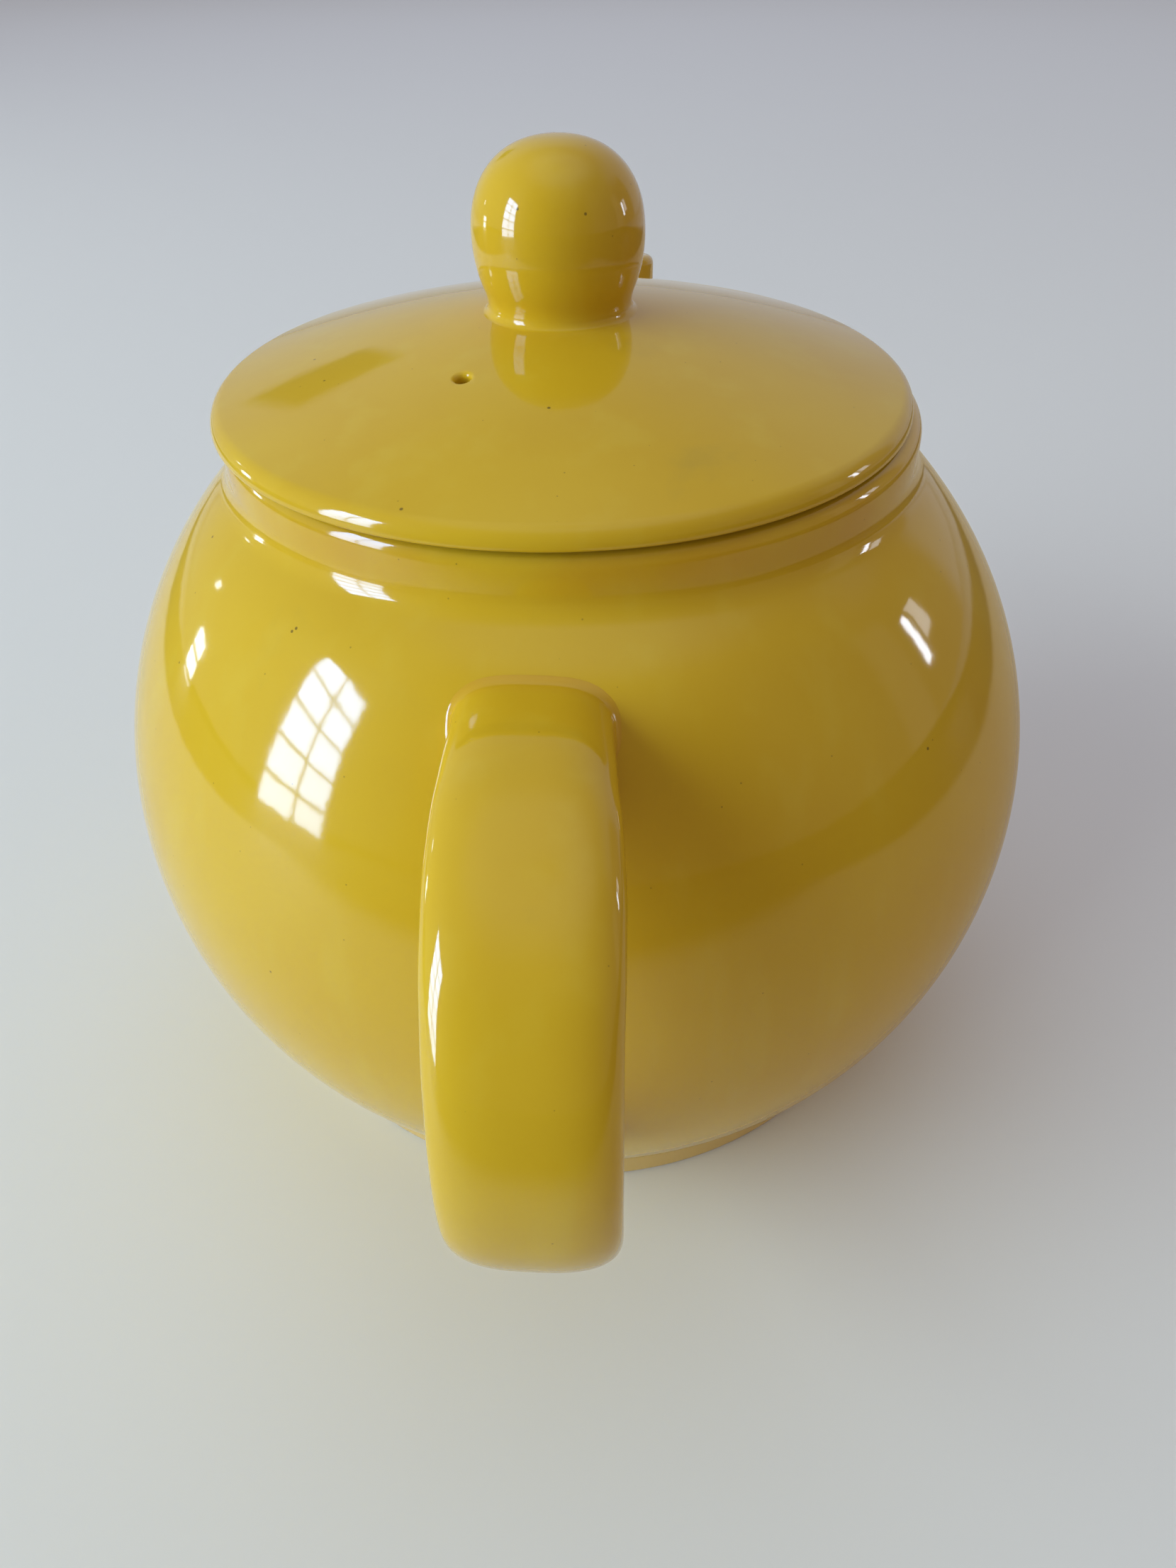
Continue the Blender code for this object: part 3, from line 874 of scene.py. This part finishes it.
# ---------------------------------------------------------------- stage

# What the pot sees of the floor, in metres: (from, to, soft edge) of the table top, beyond which
# the floor is painted dark as shade, and where the floor goes from one colour to another: into a
# painted shadow towards -Y, and back to plain pale far along +X
FLOOR_SIZE = 12.0
TABLE_X = (-0.25, 9.0, 0.06)
TABLE_Y = (-0.35, 0.48, 0.03)
SHADED_Y = (-0.14, 0.04)
BRIGHT_X = (0.6, 0.8)


def make_floor():
    """Plain pale floor to the camera. The pot sees it end a little way round it, as a table top
    would: painted dark beyond as shade, and with a painted shadow on its -Y side.
    """
    half = FLOOR_SIZE / 2
    corners = [(-half, -half, 0), (half, -half, 0), (half, half, 0), (-half, half, 0)]
    floor = link_mesh("floor", corners, [], [(0, 1, 2, 3)])
    material = bpy.data.materials.new("pale_floor")
    material.use_nodes = True
    tree = material.node_tree
    shader = tree.nodes["Principled BSDF"]
    split = node(tree, "ShaderNodeSeparateXYZ")
    link(tree, node(tree, "ShaderNodeTexCoord").outputs["Object"], split.inputs[0])
    x, y = split.outputs[0], split.outputs[1]
    # painted shadow of the pot on the floor towards -Y, seen only in the pot's gloss and bounce
    # light
    shaded = blend_colour(tree, ramp(tree, y, *SHADED_Y), FLOOR_SHADED, FLOOR)
    table = multiplied(tree, inside(tree, x, *TABLE_X), inside(tree, y, *TABLE_Y))
    # painted shade: the floor turns dark where the table ends, seen only in the pot's gloss and
    # bounce light
    seen = blend_colour(tree, table, FLOOR_BEYOND_SHADE, shaded)
    seen = blend_colour(tree, ramp(tree, x, *BRIGHT_X), seen, FLOOR)
    to_camera = node(tree, "ShaderNodeLightPath").outputs["Is Camera Ray"]
    link(tree, blend_colour(tree, to_camera, seen, FLOOR), shader.inputs["Base Color"])
    shader.inputs["Roughness"].default_value = 0.6
    shader.inputs["Specular IOR Level"].default_value = 0.2
    floor.data.materials.append(material)


def sector(tree, across, azimuth, half, soft):
    """1 within half of an azimuth, with a soft edge; across is the level direction, normalised."""
    toward = node(tree, "ShaderNodeVectorMath", operation="DOT_PRODUCT")
    link(tree, across, toward.inputs[0])
    toward.inputs[1].default_value = (cos(radians(azimuth)), sin(radians(azimuth)), 0.0)
    return ramp(tree, toward.outputs["Value"], cos(radians(half + soft)), cos(radians(half - soft)))


# Soft studio round the pot, in degrees. Each zone has its azimuth, half width and soft edge, its
# lowest and highest elevation and soft edge, and its radiance. A later zone covers an earlier one.
STUDIO_BASE = (0.33, 0.265, 0.20)
STUDIO_ZONES = (
    (0, 72, 22, -90, 50, 15, (0.47, 0.485, 0.54)),
    (90, 40, 15, -90, 55, 12, (0.36, 0.38, 0.40)),
    (180, 48, 12, -90, 38, 8, (0.20, 0.155, 0.11)),
    (-80, 26, 4, -90, 32, 6, (0.34, 0.27, 0.21)),
    (-86, 5, 2, -90, 26, 4, (0.55, 0.47, 0.36)),
    (27, 4.5, 1, 18, 27, 1, (0.12, 0.12, 0.10)),
    (0, 180, 1, 60, 91, 12, (0.60, 0.61, 0.64)),
)


def make_world():
    world = bpy.data.worlds.new("studio")
    world.use_nodes = True
    tree = world.node_tree
    direction = node(tree, "ShaderNodeTexCoord").outputs["Generated"]
    level = node(tree, "ShaderNodeVectorMath", operation="MULTIPLY")
    link(tree, direction, level.inputs[0])
    level.inputs[1].default_value = (1.0, 1.0, 0.0)
    across = node(tree, "ShaderNodeVectorMath", operation="NORMALIZE")
    link(tree, level.outputs[0], across.inputs[0])
    height = node(tree, "ShaderNodeSeparateXYZ")
    link(tree, direction, height.inputs[0])
    elevation = node(tree, "ShaderNodeMath", operation="ARCSINE")
    link(tree, height.outputs[2], elevation.inputs[0])
    radiance = STUDIO_BASE
    for azimuth, half, soft, low, high, soft_height, colour in STUDIO_ZONES:
        band = inside(
            tree, elevation.outputs[0], radians(low), radians(high), radians(soft_height))
        if half < 180:
            band = multiplied(tree, band, sector(tree, across.outputs[0], azimuth, half, soft))
        radiance = blend_colour(tree, band, radiance, colour)
    to_camera = node(tree, "ShaderNodeLightPath").outputs["Is Camera Ray"]
    shown = blend_colour(tree, to_camera, radiance, BACKDROP)
    link(tree, shown, tree.nodes["Background"].inputs["Color"])
    bpy.context.scene.world = world


def area_light(name, place, target, size, radiance, colour, diffuse, glossy):
    """Flat soft light of a given radiance, which the camera doesn't see."""
    data = bpy.data.lights.new(name, "AREA")
    data.shape = "RECTANGLE"
    data.size, data.size_y = size
    data.energy = radiance * pi * size[0] * size[1]
    data.color = colour
    light = bpy.data.objects.new(name, data)
    light.location = place
    light.rotation_euler = (Vector(target) - Vector(place)).to_track_quat("-Z", "Y").to_euler()
    light.visible_camera = False
    light.visible_diffuse = diffuse
    light.visible_glossy = glossy
    bpy.context.scene.collection.objects.link(light)


# Softboxes on either side (+1 or -1, along Y), which only show in the gloss. Each has its name,
# side, x range, z range, columns and rows of panes, and the radiance of its low and high panes.
SOFTBOX_DISTANCE = 1.5
SOFTBOX_BAR = 0.024            # between two panes
SOFTBOX_DIM_SHARE = 1.6        # how fast the panes reach the high radiance, counted in rows
SOFTBOXES = (
    ("main", 1, (-1.07, -0.46), (-0.06, 1.10), 2, 5, (8.0, 10.5, 15.0), (9.5, 13.5, 22.0)),
    ("narrow", 1, (0.36, 0.52), (-0.08, 0.22), 1, 3, (6.0, 7.0, 8.0), (9.0, 11.0, 13.0)),
    ("upper", 1, (0.60, 0.68), (0.38, 0.48), 1, 1, (7.0, 8.0, 9.0), (7.0, 8.0, 9.0)),
    ("small", -1, (0.30, 0.39), (0.26, 0.58), 1, 1, (12.0, 13.0, 15.0), (12.0, 13.0, 15.0)),
    ("pale", -1, (0.41, 0.56), (0.33, 0.61), 1, 1, (2.9, 3.0, 3.2), (2.9, 3.0, 3.2)),
)

# Lights that only light, and don't show in the gloss: place, target, size, radiance, colour
SOFT_LIGHTS = (
    ("key", (-0.75, 1.5, 0.66), (0, 0, 0.06), (1.7, 1.3), 4.3, (0.93, 1.09, 1.01)),
    ("side_fill", (-0.5, -1.7, 0.35), (0, 0, 0.06), (1.2, 0.6), 1.1, (1.0, 0.80, 0.60)),
    ("back_fill", (2.2, 0.3, 1.8), (2.2, 0, 0), (3.0, 3.0), 0.30, (0.75, 0.85, 1.0)),
)


def make_softbox(name, side, x_range, z_range, columns, rows, low, high):
    """Panes of one softbox; the lower ones are dimmer and warmer."""
    width = (x_range[1] - x_range[0]) / columns
    height = (z_range[1] - z_range[0]) / rows
    for column in range(columns):
        for row in range(rows):
            x = x_range[0] + width * (column + 0.5)
            z = z_range[0] + height * (row + 0.5)
            share = min(1.0, SOFTBOX_DIM_SHARE * row / max(1, rows - 1))
            light = Vector(low).lerp(Vector(high), share)
            pane = (width - SOFTBOX_BAR, height - SOFTBOX_BAR)
            area_light(
                f"{name}_{column}_{row}", (x, side * SOFTBOX_DISTANCE, z), (x, 0.0, z),
                pane, max(light), light / max(light), diffuse=False, glossy=True)


def make_lights():
    for softbox in SOFTBOXES:
        make_softbox(*softbox)
    for light in SOFT_LIGHTS:
        area_light(*light, diffuse=True, glossy=False)


def make_camera():
    data = bpy.data.cameras.new("camera")
    data.lens = CAMERA_LENS_MM
    data.sensor_width = CAMERA_SENSOR_MM
    data.clip_start = 0.01
    camera = bpy.data.objects.new("camera", data)
    level = cos(CAMERA_PITCH)
    forward = Vector((
        cos(CAMERA_HEADING) * level, sin(CAMERA_HEADING) * level, sin(CAMERA_PITCH)))
    right = Vector((sin(CAMERA_HEADING), -cos(CAMERA_HEADING), 0.0))
    up = right.cross(forward)
    right_rolled = right * cos(CAMERA_ROLL) - up * sin(CAMERA_ROLL)
    up_rolled = right * sin(CAMERA_ROLL) + up * cos(CAMERA_ROLL)
    turn = Matrix((right_rolled, up_rolled, -forward)).transposed()
    camera.matrix_world = Matrix.Translation(CAMERA_PLACE) @ turn.to_4x4()
    bpy.context.scene.collection.objects.link(camera)
    bpy.context.scene.camera = camera


make_pot()
make_spout()
make_handle()
make_lid()
make_knob()
make_floor()
make_world()
make_lights()
make_camera()
bpy.context.scene.view_settings.view_transform = "Standard"
